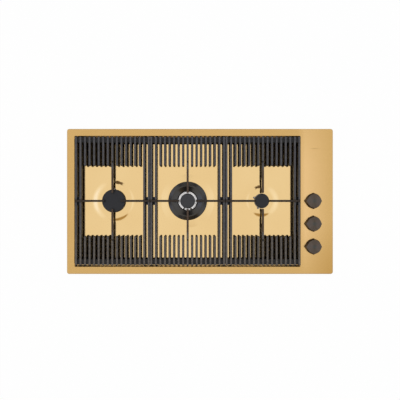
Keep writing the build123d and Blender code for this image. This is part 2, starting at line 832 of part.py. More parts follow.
def gas_inlet():
    y0 = base_in_y - manifold_gap
    y1 = base_in_y - 1.0
    y2 = base_rear + inlet_collar_out
    y3 = y2 + inlet_thread_length
    body = Pos(knob_x, y1, manifold_z) * Rot(90, 0, 0) * extrude(RegularPolygon(inlet_hex_r, 6), amount=y1 - y0)
    body += rod_y(inlet_collar_r, knob_x, y1, y2, manifold_z)
    thread = rod_y(inlet_thread_r, knob_x, y2, y3, manifold_z)
    body += chamfer(thread.faces().sort_by(Axis.Y)[-1].edges(), inlet_chamfer)
    return body - rod_y(inlet_bore_r, knob_x, y0, y3, manifold_z)


def tap_body(y):
    half = tap_size / 2
    body = block(knob_x - half, knob_x + half, y - half, y + half, manifold_top_z, tap_top_z)
    body = fillet(body.edges().filter_by(Axis.Z), 2.0)
    body -= rod(plug_r + fit_gap, plug_foot_z - bore_depth_gap, tap_top_z, knob_x, y)
    body -= rod(duct_r, manifold_top_z, plug_foot_z, knob_x, y)
    body -= rod_x(duct_r, knob_x - half, knob_x, y, tap_port_z)
    for side in (-1, 1):
        body -= rod(tap_screw_r, rail_top_z - tap_screw_depth, tap_top_z,
                    knob_x + side * tap_screw_spread, y + side * tap_screw_spread)
    return body


def tap_bonnet(y):
    half = tap_size / 2
    bonnet = block(knob_x - half, knob_x + half, y - half, y + half, tap_top_z, bonnet_top_z)
    bonnet -= rod(spindle_r + fit_gap, tap_top_z, bonnet_top_z, knob_x, y)
    for side in (-1, 1):
        bonnet -= rod(tap_screw_r + fit_gap, tap_top_z, bonnet_top_z,
                      knob_x + side * tap_screw_spread, y + side * tap_screw_spread)
    return bonnet


def tap_screws():
    solids = []
    for name in tap_names:
        for side in (-1, 1):
            x = knob_x + side * tap_screw_spread
            y = tap_y(name) + side * tap_screw_spread
            shank = rod(tap_screw_r, rail_top_z - tap_screw_depth, rail_top_z, x, y)
            solids.append(shank + rod(tap_screw_r + 1.2, rail_top_z, rail_top_z + 1.6, x, y))
    return group(solids)


def flatted_rod(r, flat, z0, z1, x, y):
    # a rod with one flat, facing +X
    return rod(r, z0, z1, x, y) - block(x + flat, x + r + 1, y - r - 1, y + r + 1, z0, z1)


def tap_plug(y):
    plug = rod(plug_r, plug_foot_z, plug_top_z, knob_x, y)
    socket_z = spindle_foot_z - knob_travel - 0.5
    plug -= flatted_rod(spindle_r + fit_gap, spindle_flat + fit_gap, socket_z, plug_top_z, knob_x, y)
    return plug - rod_x(duct_r - 0.5, knob_x - plug_r - 1, knob_x, y, tap_port_z - 5.5)


def tap_spindle(y):
    round_z = plug_top_z + knob_travel + 0.5
    spindle = flatted_rod(spindle_r, spindle_flat, spindle_foot_z, round_z, knob_x, y)
    spindle += rod(spindle_r, round_z, hub_z, knob_x, y)
    spindle += flatted_rod(spindle_r, spindle_flat, hub_z, spindle_top_z, knob_x, y)
    return spindle + rod(collar_r, collar_z, collar_z + collar_height, knob_x, y)


def spindle_spring(y):
    # the coil as a sleeve: it sits out of sight inside the tap
    sleeve = rod(collar_r - spring_out_gap, plug_top_z, collar_z, knob_x, y)
    return sleeve - rod(spindle_r + spring_in_gap, plug_top_z, collar_z, knob_x, y)


def ignition_switch(y):
    top = rail_top_z + switch_height
    ring = rod(switch_r, rail_top_z, top, knob_x, y) - rod(spindle_r + switch_gap, rail_top_z, top, knob_x, y)
    for side in (-1, 1):
        head = rod(tap_screw_r + 1.2 + fit_gap, rail_top_z, top,
                   knob_x + side * tap_screw_spread, y + side * tap_screw_spread)
        ring -= head
    return ring


def tap_rail():
    half = rail_width / 2
    y0 = tap_y(tap_names[-1]) - rail_end
    y1 = tap_y(tap_names[0]) + rail_end
    rail = block(knob_x - half, knob_x + half, y0, y1, bonnet_top_z, rail_top_z)
    for side in (-1, 1):
        x_in = knob_x + side * (half - rail_sheet)
        x_mid = knob_x + side * half
        x_out = knob_x + side * (half + rail_foot)
        rail += block(min(x_in, x_mid), max(x_in, x_mid), y0, y1, bonnet_top_z, under_panel_z)
        rail += block(min(x_in, x_out), max(x_in, x_out), y0, y1, under_panel_z - rail_sheet, under_panel_z)
    for name in tap_names:
        rail -= rod(spindle_r + spindle_hole_gap, bonnet_top_z, rail_top_z, knob_x, tap_y(name))
        for side in (-1, 1):
            rail -= rod(tap_screw_r + fit_gap, bonnet_top_z, rail_top_z,
                        knob_x + side * tap_screw_spread, tap_y(name) + side * tap_screw_spread)
    return rail


def magnet_unit(y):
    x = knob_x + tap_size / 2
    nut = Pos(x, y, tap_port_z) * Rot(0, 90, 0) * extrude(RegularPolygon(magnet_r + 1.0, 6), amount=6.0)
    return nut + rod_x(magnet_r, x + 6.0, x + magnet_length, y, tap_port_z)


def knob_seal(y):
    r = panel_hole_r + knob_seal_flange
    seal = rod(r, rim_z, rim_z + knob_seal_lip, knob_x, y)
    seal += rod(panel_hole_r - fit_gap, under_panel_z, rim_z, knob_x, y)
    seal += rod(r - 1.0, under_panel_z - knob_seal_lip, under_panel_z, knob_x, y)
    return seal - rod(knob_seal_bore_r, under_panel_z - knob_seal_lip, rim_z + knob_seal_lip, knob_x, y)


def knob_outline():
    # a disc with a long pointed cusp at the left and three short ones
    face = Circle(knob_r)
    tips = []
    for angle, reach in ((180.0, knob_pointer), (90.0, knob_cusp), (0.0, knob_cusp), (270.0, knob_cusp)):
        spread = degrees(acos(knob_r / reach))
        points = [(0, 0), polar(angle - spread, knob_r), polar(angle, reach), polar(angle + spread, knob_r)]
        face += make_face(Polyline(*points, close=True))
        tips.append(Vector(*polar(angle, reach)))
    face = face.face()
    for tip in tips:
        face = face.fillet_2d(knob_tip_r, [face.vertices().sort_by_distance(tip)[0]])
    return face


def knob(y):
    outline = knob_outline()
    top = Pos(0, 0, knob_top_z) * scale(outline, by=knob_top_scale)
    body = loft([Pos(0, 0, knob_z) * outline, top])
    body = fillet(body.faces().sort_by(Axis.Z)[-1].edges(), knob_edge_r)
    body -= rod(knob_hollow_r, knob_z, knob_top_z - knob_crown)
    body += rod(knob_hub_r, hub_z, knob_top_z - knob_crown)
    body = Pos(knob_x, y, 0) * body
    return body - flatted_rod(spindle_r + fit_gap / 2, spindle_flat + fit_gap / 2, hub_z, spindle_top_z + 0.5,
                              knob_x, y)


def feed_pipe(name):
    # from the tap's side outlet down under the recess floor and across to the cup's inlet
    burner = burners[tap_burner[name]]
    y = tap_y(name)
    x0 = knob_x - tap_size / 2
    x1 = x0 - pipe_drop_inset
    reach = burner["barrel_r"] + boss_length
    dx, dy = polar(burner["inlet"], reach)
    end = (burner_x(burner) + dx, axis_y + dy, duct_z)
    points = [(x0, y, tap_port_z), (x1, y, tap_port_z), (x1, y, duct_z)]
    bends = [pipe_bend_r, pipe_bend_r]
    if burner["inlet"]:
        points.append((end[0], y, duct_z))
        bends.append(pipe_turn_r)
    points.append(end)
    return bent_rod(points, bends, pipe_r)


def pipe_nuts():
    solids = []
    for name in tap_names:
        y = tap_y(name)
        x = knob_x - tap_size / 2
        burner = burners[tap_burner[name]]
        dx, dy = polar(burner["inlet"], burner["barrel_r"] + boss_length)
        for nut_x, nut_y, nut_z, turn in (
                (x, y, tap_port_z, 180.0),
                (burner_x(burner) + dx, axis_y + dy, duct_z, burner["inlet"])):
            nut = Rot(0, 90, 0) * extrude(RegularPolygon(nut_r, 6), amount=nut_length)
            nut -= rod_x(pipe_r + nut_gap, -1, nut_length + 1, 0, 0)
            solids.append(Pos(nut_x, nut_y, nut_z) * Rot(0, 0, turn) * nut)
    return group(solids)


# ---- electrics ----

def lead_z(r):
    return base_sheet + r + lead_lift


def thermocouple_lead(name):
    # from the end of the magnet unit down to the base, along its lane and up to the sensor
    burner = burners[tap_burner[name]]
    y = tap_y(name)
    z = lead_z(lead_r)
    x0 = knob_x + tap_size / 2 + magnet_length
    x1 = x0 + lead_out
    lane = axis_y + sensor_lanes[name]
    dx, dy = polar(*burner["sensor"])
    sx, sy = burner_x(burner) + dx, axis_y + dy
    foot = spark_foot_z(burner) - 1.5
    points = [(x0, y, tap_port_z), (x1, y, tap_port_z), (x1, y, z), (x1, lane, z), (sx, lane, z)]
    bends = [lead_rise_r, lead_rise_r, lead_bend_r / 2, lead_bend_r]
    inside = burner["sensor"][1] < burner["barrel_r"]
    if inside:
        points.append((sx, sy - sensor_r if lane < sy else sy + sensor_r, foot + 1.0))
        points[-2] = (sx, lane, z)
        points[-1] = (sx, points[-1][1], z)
    else:
        points.append((sx, sy, z))
        points.append((sx, sy, foot))
        bends.append(lead_rise_r)
    return bent_rod(points, bends, lead_r)


def spark_lead(name):
    # from the front face of the module along its lane to the electrode's foot
    burner = burners[name]
    z = lead_z(spark_lead_r)
    place = {"left": -1, "wok": 0, "right": 1}[name]
    x0 = module_x + place * module_lead_pitch
    y0 = module_y - module_width / 2
    lane = axis_y + spark_lanes[name]
    dx, dy = polar(*burner["spark"])
    sx, sy = burner_x(burner) + dx, axis_y + dy
    foot = spark_foot_z(burner)
    inside = burner["spark"][1] < burner["barrel_r"]
    if name == "right":
        round_x = burner_x(burner) - spark_round_x
        round_y = axis_y - spark_round_y
        points = [(x0, y0, z), (x0, lane, z), (round_x, lane, z), (round_x, round_y, z),
                  (sx, round_y, z), (sx, sy, z), (sx, sy, foot - spark_foot_drop)]
        bends = [lead_bend_r, lead_bend_r, lead_bend_r, lead_bend_r, lead_rise_r]
    elif inside:
        points = [(x0, y0, z), (x0, lane, z), (sx, lane, z), (sx, sy + spark_lead_r, z)]
        bends = [lead_bend_r, lead_bend_r]
    else:
        points = [(x0, y0, z), (x0, lane, z), (sx, lane, z), (sx, sy, z), (sx, sy, foot - spark_foot_drop)]
        bends = [lead_bend_r, lead_bend_r, lead_rise_r]
    return bent_rod(points, bends, spark_lead_r)


def ignition_module():
    z1 = base_sheet + module_height
    box = block(module_x - module_length / 2, module_x + module_length / 2,
                module_y - module_width / 2, module_y + module_width / 2, base_sheet, z1)
    return fillet(box.edges().filter_by(Axis.Z), 3.0)


def switch_harness():
    # one wire links the three switches and ends at the module
    z = rail_top_z + lead_r + lead_lift
    solids = []
    for rear, front in zip(tap_names, tap_names[1:]):
        solids.append(rod_y(lead_r, knob_x, tap_y(front) + switch_r, tap_y(rear) - switch_r, z))
    y0 = tap_y(tap_names[0]) + switch_r
    end_x = module_x + module_length / 2
    side_x = (end_x + knob_x - manifold_size / 2) / 2
    y1 = y0 + harness_level
    high, low, end = harness_heights
    points = [(knob_x, y0, z), (knob_x, y1, z), (side_x, y1 + harness_fall, high),
              (side_x, module_y - harness_turn, low), (side_x, module_y, end), (end_x, module_y, end)]
    solids.append(bent_rod(points, harness_bends, lead_r))
    return group(solids)


def terminal_block():
    z1 = base_sheet + terminal_height
    box = block(terminal_x - terminal_length / 2, terminal_x + terminal_length / 2,
                terminal_y - terminal_width / 2, terminal_y + terminal_width / 2, base_sheet, z1)
    for i in (-1, 0, 1):
        box -= rod(2.2, z1 - 6.0, z1, terminal_x, terminal_y + i * 9.0)
    return box


def mains_leads():
    z = lead_z(lead_r)
    x0 = module_x + module_length / 2
    x1 = terminal_x - terminal_length / 2
    low = max(terminal_y - terminal_width / 2, module_y - module_width / 2)
    high = min(terminal_y + terminal_width / 2, module_y + module_width / 2)
    return group(rod_x(lead_r, x0, x1, low + (high - low) * share, z) for share in (0.3, 0.7))


def cable_entry():
    y_in = base_in_y
    y_out = base_rear
    bush = rod_y(entry_flange_r, terminal_x, y_out, y_out + entry_flange, entry_z)
    bush += rod_y(entry_body_r, terminal_x, y_in - entry_nut, y_out, entry_z)
    bush += rod_y(entry_flange_r, terminal_x, y_in - entry_nut, y_in, entry_z)
    return bush - rod_y(entry_bore_r, terminal_x, y_in - entry_nut, y_out + entry_flange, entry_z)


def at_burner(name, shape):
    return Pos(burner_x(burners[name]), axis_y, 0) * shape


parts = {
    "top_panel": top_panel(),
    "burner_tray": burner_tray(),
    "worktop_seal": worktop_seal(),
    "base_tray": base_tray(),
    "fixing_brackets": fixing_brackets(),
    "base_screws": base_screws(),
    "worktop_clamps": worktop_clamps(),
    "clamp_screws": clamp_screws(),
    "gas_manifold": gas_manifold(),
    "gas_inlet": gas_inlet(),
    "tap_rail": tap_rail(),
    "tap_screws": tap_screws(),
    "tap_bodies": group(tap_body(tap_y(name)) for name in tap_names),
    "tap_bonnets": group(tap_bonnet(tap_y(name)) for name in tap_names),
    "magnet_units": group(magnet_unit(tap_y(name)) for name in tap_names),
    "knob_seals": group(knob_seal(tap_y(name)) for name in tap_names),
    "ignition_switches": group(ignition_switch(tap_y(name)) for name in tap_names),
    "switch_harness": switch_harness(),
    "ignition_module": ignition_module(),
    "terminal_block": terminal_block(),
    "mains_leads": mains_leads(),
    "cable_entry": cable_entry(),
    "feed_pipes": group(feed_pipe(name) for name in tap_names),
    "pipe_nuts": pipe_nuts(),
    "wok_crown": at_burner("wok", wok_crown(burners["wok"])),
    "wok_ring_cap": at_burner("wok", wok_ring_cap(burners["wok"])),
    "wok_centre_cap": at_burner("wok", wok_centre_cap()),
}
casting = grate()
feet = grate_feet()
for side in ("left", "centre", "right"):
    bay = ("left", "centre", "right").index(side)
    parts[side + "_grate"] = Pos(grate_x(bay), axis_y, 0) * casting
    parts[side + "_grate_feet"] = Pos(grate_x(bay), axis_y, 0) * feet
for name, burner in burners.items():
    parts[name + "_cup"] = at_burner(name, burner_cup(burner))
for name in ("left", "right"):
    parts[name + "_crown"] = at_burner(name, small_crown(burners[name]))
    parts[name + "_cap"] = at_burner(name, small_cap(burners[name]))
parts["burner_gaskets"] = group(at_burner(n, burner_gasket(b)) for n, b in burners.items())
parts["burner_screws"] = group(at_burner(n, s) for n, b in burners.items() for s in burner_screws(b))
parts["injectors"] = group(at_burner(n, injector()) for n in burners)
parts["spark_insulators"] = group(at_burner(n, spark_insulator(b)) for n, b in burners.items())
parts["spark_pins"] = group(at_burner(n, spark_pin(b)) for n, b in burners.items())
parts["thermocouples"] = group(at_burner(n, thermocouple(b)) for n, b in burners.items())
parts["thermocouple_leads"] = group(thermocouple_lead(name) for name in tap_names)
parts["ignition_leads"] = group(spark_lead(name) for name in burners)
for name in tap_names:
    y = tap_y(name)
    parts[name + "_tap_plug"] = tap_plug(y)
    parts[name + "_spindle"] = tap_spindle(y)
    parts[name + "_spring"] = spindle_spring(y)
    parts[name + "_knob"] = knob(y)

os.makedirs("parts", exist_ok=True)
for name, shape in parts.items():
    export_step(shape, "parts/" + name + ".step")
print(len(parts), "parts written")
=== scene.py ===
import bpy
import math
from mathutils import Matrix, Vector


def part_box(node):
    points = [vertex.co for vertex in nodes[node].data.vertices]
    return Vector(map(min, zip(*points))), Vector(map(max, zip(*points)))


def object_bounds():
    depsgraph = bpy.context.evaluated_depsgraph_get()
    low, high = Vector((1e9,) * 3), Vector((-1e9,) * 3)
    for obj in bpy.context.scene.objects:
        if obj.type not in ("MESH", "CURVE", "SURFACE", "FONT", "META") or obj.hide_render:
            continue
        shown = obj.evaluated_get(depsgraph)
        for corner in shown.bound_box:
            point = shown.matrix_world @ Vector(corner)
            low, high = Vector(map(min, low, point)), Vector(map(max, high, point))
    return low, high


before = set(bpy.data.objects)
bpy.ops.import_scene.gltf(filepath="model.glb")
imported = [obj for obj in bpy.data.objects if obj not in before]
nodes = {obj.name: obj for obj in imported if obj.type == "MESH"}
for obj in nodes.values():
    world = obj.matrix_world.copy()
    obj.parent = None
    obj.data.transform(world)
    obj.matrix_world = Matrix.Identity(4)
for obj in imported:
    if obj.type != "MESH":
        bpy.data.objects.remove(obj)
cadLow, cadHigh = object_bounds()
print("cooktop frame loaded,", len(nodes), "parts")


# small helpers for the finishes; a noise is set as scale, detail, roughness and, if need be, warp

noiseSpan = (0.3, 0.7)  # most of a noise's values lie in here
white = (1, 1, 1)


def startFinish(name):
    mat = bpy.data.materials.new(name)
    mat.use_nodes = True
    tree = mat.node_tree
    return mat, tree, tree.nodes["Principled BSDF"]


def objectSpace(tree, stretch=(1, 1, 1), turn=0.0, shift=(0, 0)):
    coord = tree.nodes.new("ShaderNodeTexCoord")
    mapping = tree.nodes.new("ShaderNodeMapping")
    mapping.inputs["Scale"].default_value = stretch
    mapping.inputs["Rotation"].default_value = (0, 0, turn)
    mapping.inputs["Location"].default_value = (*shift, 0)
    tree.links.new(coord.outputs["Object"], mapping.inputs["Vector"])
    return mapping.outputs["Vector"]


def axesOf(tree, vector):
    parts = tree.nodes.new("ShaderNodeSeparateXYZ")
    tree.links.new(vector, parts.inputs["Vector"])
    return parts.outputs["X"], parts.outputs["Y"], parts.outputs["Z"]


def lengthOf(tree, vector):
    away = tree.nodes.new("ShaderNodeVectorMath")
    away.operation = "LENGTH"
    tree.links.new(vector, away.inputs[0])
    return away.outputs["Value"]


def noiseOf(tree, vector, scale, detail, rough=0.55, warp=0.0):
    noise = tree.nodes.new("ShaderNodeTexNoise")
    noise.inputs["Scale"].default_value = scale
    noise.inputs["Detail"].default_value = detail
    noise.inputs["Roughness"].default_value = rough
    noise.inputs["Distortion"].default_value = warp
    tree.links.new(vector, noise.inputs["Vector"])
    return noise.outputs["Fac"]


def spread(tree, value, onto, span=noiseSpan):
    ramp = tree.nodes.new("ShaderNodeMapRange")
    ramp.inputs["From Min"].default_value, ramp.inputs["From Max"].default_value = span
    ramp.inputs["To Min"].default_value, ramp.inputs["To Max"].default_value = onto
    tree.links.new(value, ramp.inputs["Value"])
    return ramp.outputs["Result"]


def fade(tree, value, span=noiseSpan):
    return spread(tree, value, (0, 1), span)  # 0 at the span's first end, 1 at its second


def reckon(tree, operation, *values):
    step = tree.nodes.new("ShaderNodeMath")
    step.operation = operation
    for socket, value in zip(step.inputs, values):
        if hasattr(value, "node"):
            tree.links.new(value, socket)
        else:
            socket.default_value = value
    return step.outputs["Value"]


def sumOf(tree, first, second, share):
    return reckon(tree, "MULTIPLY_ADD", second, share, first)


def productOf(tree, first, *others):
    for other in others:
        first = reckon(tree, "MULTIPLY", first, other)
    return first


def blendColours(tree, value, first, second):
    mix = tree.nodes.new("ShaderNodeMix")
    mix.data_type = "RGBA"
    for side, colour in (("A", first), ("B", second)):
        if hasattr(colour, "node"):
            tree.links.new(colour, mix.inputs[side])
        else:
            mix.inputs[side].default_value = (*colour, 1)
    tree.links.new(value, mix.inputs["Factor"])
    return mix.outputs["Result"]


def patchMask(tree, vector, at, reach, heart):
    # 1 in the heart of an oval patch across X and Y, falling softly to 0 at its edge
    farZ = 1000.0  # so tall that Z doesn't count
    place = tree.nodes.new("ShaderNodeMapping")
    place.vector_type = "TEXTURE"
    place.inputs["Location"].default_value = (*at, 0)
    place.inputs["Scale"].default_value = (*reach, farZ)
    tree.links.new(vector, place.inputs["Vector"])
    fall = tree.nodes.new("ShaderNodeMapRange")
    fall.interpolation_type = "SMOOTHERSTEP"
    fall.inputs["From Min"].default_value = 1.0
    fall.inputs["From Max"].default_value = heart
    tree.links.new(lengthOf(tree, place.outputs["Vector"]), fall.inputs["Value"])
    return fall.outputs["Result"]


def bumpUp(tree, shader, height, strength, depth):
    bump = tree.nodes.new("ShaderNodeBump")
    bump.inputs["Strength"].default_value = strength
    bump.inputs["Distance"].default_value = depth
    tree.links.new(height, bump.inputs["Height"])
    tree.links.new(bump.outputs["Normal"], shader.inputs["Normal"])


def middleOf(name):
    low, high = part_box(name)
    return (low[0] + high[0]) / 2, (low[1] + high[1]) / 2


def dress(mat, *names):
    for name in names:
        part = nodes[name]
        if part.material_slots:
            for holder in part.material_slots:
                holder.material = mat
        else:
            part.data.materials.append(mat)


# gold panel: fine satin grain along its length, a painted highlight on the control strip, a painted shade at
# its front right corner

panelGold = {
    "colour": (0.62, 0.385, 0.135), "paleGrain": (0.665, 0.425, 0.16), "grainSpan": (0.45, 0.95),
    "stretch": (0.02, 1, 1), "grain": (900.0, 3.0, 0.6), "clouds": (6.0, 2.0), "cloudShare": 0.35,
    "gloss": (0.17, 0.23), "pull": 0.2, "relief": 0.02, "depth": 0.00003,
    # the paler strip colour on this line is a painted highlight, the deeper end colour below it a painted
    # shade
    "paintedStripHighlight": (0.80, 0.525, 0.235), "acrossStrip": (0.462, 0.37), "intoStrip": (0.345, 0.37),
    "alongStrip": (-0.26, -0.10), "rearFade": (0.25, 0.13), "rearShare": (0.55, 1),
    "paintedCornerShade": (0.54, 0.315, 0.092), "cornerShadeAcross": (0.37, 0.465), "cornerShadeAlong": (-0.06, -0.25),
    "smudge": (0.56, 0.345, 0.125), "smudgeAt": (0.4044, 0.1857), "smudgeReach": (0.021, 0.0026),
    "smudgeHeart": 0.2, "smudgeClouds": (0.6, 1.0),
}


def makePanelGold():
    mat, tree, shader = startFinish("panelGold")
    place = objectSpace(tree)
    lines = noiseOf(tree, objectSpace(tree, panelGold["stretch"]), *panelGold["grain"])
    clouds = noiseOf(tree, place, *panelGold["clouds"])
    shade = fade(tree, sumOf(tree, lines, clouds, panelGold["cloudShare"]), panelGold["grainSpan"])
    colour = blendColours(tree, shade, panelGold["colour"], panelGold["paleGrain"])
    # a painted highlight: the control strip is painted a little paler next to the recess
    x, y = axesOf(tree, place)[:2]
    stripHighlightMask = productOf(tree, fade(tree, x, panelGold["acrossStrip"]), fade(tree, x, panelGold["intoStrip"]),
                      fade(tree, y, panelGold["alongStrip"]),
                      spread(tree, y, panelGold["rearShare"], panelGold["rearFade"]))
    colour = blendColours(tree, stripHighlightMask, colour, panelGold["paintedStripHighlight"])
    # and a painted shade, a little deeper towards its front right corner
    deep = productOf(tree, fade(tree, x, panelGold["cornerShadeAcross"]), fade(tree, y, panelGold["cornerShadeAlong"]))
    colour = blendColours(tree, deep, colour, panelGold["paintedCornerShade"])
    # a faint finger smudge near its rear end
    smudge = patchMask(tree, place, panelGold["smudgeAt"], panelGold["smudgeReach"], panelGold["smudgeHeart"])
    smudge = productOf(tree, smudge, spread(tree, clouds, panelGold["smudgeClouds"]))
    colour = blendColours(tree, smudge, colour, panelGold["smudge"])
    tree.links.new(colour, shader.inputs["Base Color"])
    tree.links.new(spread(tree, lines, panelGold["gloss"]), shader.inputs["Roughness"])
    shader.inputs["Metallic"].default_value = 1.0
    shader.inputs["Anisotropic"].default_value = panelGold["pull"]
    bumpUp(tree, shader, lines, panelGold["relief"], panelGold["depth"])
    return mat


# gold recess: polished, with the faint waves of a pressed sheet and a few wiping smears in its gloss

recessGold = {
    "colour": (0.835, 0.60, 0.29), "deeper": (0.815, 0.575, 0.27), "waves": (9.0, 1.5, 0.4),
    "smears": (38.0, 5.0, 0.65, 0.4), "smearStretch": (1, 2.2, 1), "smearTurn": 0.5,
    "gloss": (0.06, 0.10), "relief": 0.12, "depth": 0.0002,
}


def makeRecessGold():
    mat, tree, shader = startFinish("recessGold")
    waves = noiseOf(tree, objectSpace(tree), *recessGold["waves"])
    wiped = objectSpace(tree, recessGold["smearStretch"], recessGold["smearTurn"])
    smears = noiseOf(tree, wiped, *recessGold["smears"])
    colour = blendColours(tree, fade(tree, waves), recessGold["colour"], recessGold["deeper"])
    tree.links.new(colour, shader.inputs["Base Color"])
    tree.links.new(spread(tree, smears, recessGold["gloss"]), shader.inputs["Roughness"])
    shader.inputs["Metallic"].default_value = 1.0
    bumpUp(tree, shader, waves, recessGold["relief"], recessGold["depth"])
    return mat


# black grates: cast iron under matt enamel, a fine sand texture, and tops painted paler in patches as a
# painted highlight

grateIron = {
    "colour": (0.0085, 0.0075, 0.007), "sand": (900.0, 3.0, 0.7), "lumps": (120.0, 3.0, 0.5),
    "gloss": (0.42, 0.6), "shine": 0.34, "lumpShare": 1.6, "relief": 0.3, "depth": 0.0002,
    "topHeight": (0.0742, 0.0759), "patchy": (0.504, 1.08),
    # the top colours on this line are a painted highlight on the tops
    "topHighlight": (0.092, 0.089, 0.094), "frontTopTone": (0.138, 0.120, 0.104), "frontTopAlong": (-0.09, -0.13),
    "burnerBrown": (0.086, 0.052, 0.030), "brownReach": (0.116, 0.116), "brownHeart": 0.9,
    "middleDark": (0.030, 0.019, 0.011), "middleDarkFrom": (0.0065, 0.0045), "middleLine": 0.0019,
}


def makeGrateIron():
    mat, tree, shader = startFinish("grateIron")
    place = objectSpace(tree)
    sand = noiseOf(tree, place, *grateIron["sand"])
    lumps = noiseOf(tree, place, *grateIron["lumps"])
    y, z = axesOf(tree, place)[1:]
    # the tops are painted paler and bluish, a painted highlight, and paler and warmer towards the front
    tops = blendColours(tree, fade(tree, y, grateIron["frontTopAlong"]), grateIron["topHighlight"], grateIron["frontTopTone"])
    # browner round each burner
    for burner in ("left_cap", "wok_centre_cap", "right_cap"):
        around = patchMask(tree, place, middleOf(burner), grateIron["brownReach"], grateIron["brownHeart"])
        tops = blendColours(tree, around, tops, grateIron["burnerBrown"])
    # and darker on the fingers that lie along the middle line
    aside = reckon(tree, "ABSOLUTE", reckon(tree, "SUBTRACT", y, grateIron["middleLine"]))
    tops = blendColours(tree, fade(tree, aside, grateIron["middleDarkFrom"]), tops, grateIron["middleDark"])
    # painted highlight: faces above a height take the paler top colour in patches, the lower bars stay dark
    paintedTopLight = productOf(tree, fade(tree, z, grateIron["topHeight"]), spread(tree, lumps, grateIron["patchy"]))
    colour = blendColours(tree, paintedTopLight, grateIron["colour"], tops)
    tree.links.new(colour, shader.inputs["Base Color"])
    tree.links.new(spread(tree, lumps, grateIron["gloss"]), shader.inputs["Roughness"])
    shader.inputs["Specular IOR Level"].default_value = grateIron["shine"]
    rough = sumOf(tree, sand, lumps, grateIron["lumpShare"])
    bumpUp(tree, shader, rough, grateIron["relief"], grateIron["depth"])
    return mat


# black enamel of the burner caps; the ring cap is the glossiest and gleams a little warm

capEnamel = {
    "colour": (0.004, 0.004, 0.0065), "speck": (0.010, 0.010, 0.014), "specks": (1500.0, 2.0, 0.8),
    "speckSpan": (0.55, 0.75), "peel": (420.0, 2.0, 0.5), "relief": 0.12, "depth": 0.0001,
}
capFinishes = {
    "capEnamel": {"gloss": (0.32, 0.40), "shine": 0.42, "gleam": white, "on": ["left_cap", "right_cap"]},
    "centreEnamel": {"gloss": (0.36, 0.44), "shine": 0.66, "gleam": white, "on": ["wok_centre_cap"]},
    "ringEnamel": {"gloss": (0.11, 0.19), "shine": 0.7, "gleam": (1.0, 0.92, 0.78), "on": ["wok_ring_cap"]},
}


def makeCapEnamel(name, look):
    mat, tree, shader = startFinish(name)
    place = objectSpace(tree)
    peel = noiseOf(tree, place, *capEnamel["peel"])
    specks = fade(tree, noiseOf(tree, place, *capEnamel["specks"]), capEnamel["speckSpan"])
    colour = blendColours(tree, specks, capEnamel["colour"], capEnamel["speck"])
    tree.links.new(colour, shader.inputs["Base Color"])
    tree.links.new(spread(tree, peel, look["gloss"]), shader.inputs["Roughness"])
    shader.inputs["Specular IOR Level"].default_value = look["shine"]
    shader.inputs["Specular Tint"].default_value = (*look["gleam"], 1)
    bumpUp(tree, shader, peel, capEnamel["relief"], capEnamel["depth"])
    return mat


# metals, plastics and rubbers of the lesser parts: one recipe, a few settings each

plainRecipe = {
    "grain": (4.0, 0.6), "clouds": (35.0, 3.0, 0.5), "cloudShare": 0.7, "span": (0.6, 1.1), "depth": 0.00015,
}
plainMetals = {
    "crownAlloy": {
        "colour": (0.90, 0.88, 0.86), "second": (0.78, 0.76, 0.74),
        "grain": 650.0, "gloss": (0.3, 0.42), "relief": 0.3,
        # the dark colour for the crowns' deep faces is painted shade
        "crownShade": (0.035, 0.032, 0.030), "crownShadeHeight": (0.0512, 0.0500),
        "on": ["left_crown", "wok_crown", "right_crown"]},
    "cupAlloy": {
        "colour": (0.36, 0.33, 0.29), "second": (0.28, 0.25, 0.22),
        "grain": 500.0, "gloss": (0.35, 0.5), "relief": 0.35,
        "on": ["left_cup", "wok_cup", "right_cup", "tap_bodies"]},
    "brightSteel": {
        "colour": (0.55, 0.54, 0.52), "second": (0.42, 0.41, 0.40),
        "grain": 900.0, "gloss": (0.25, 0.38), "relief": 0.15,
        "on": ["base_screws", "clamp_screws", "tap_screws", "burner_screws", "spark_pins", "thermocouples",
               "rear_spindle", "middle_spindle", "front_spindle",
               "rear_spring", "middle_spring", "front_spring"]},
    "turnedBrass": {
        "colour": (0.66, 0.47, 0.19), "second": (0.55, 0.37, 0.14),
        "grain": 800.0, "gloss": (0.2, 0.34), "relief": 0.15,
        "on": ["gas_inlet", "magnet_units", "pipe_nuts", "injectors",
               "rear_tap_plug", "middle_tap_plug", "front_tap_plug"]},
    "tubeAlloy": {
        "colour": (0.70, 0.70, 0.70), "second": (0.58, 0.58, 0.58),
        "grain": 300.0, "gloss": (0.28, 0.4), "relief": 0.12, "on": ["feed_pipes"]},
    "copperLead": {
        "colour": (0.55, 0.27, 0.14), "second": (0.40, 0.18, 0.09),
        "grain": 600.0, "gloss": (0.25, 0.4), "relief": 0.1, "on": ["thermocouple_leads"]},
}
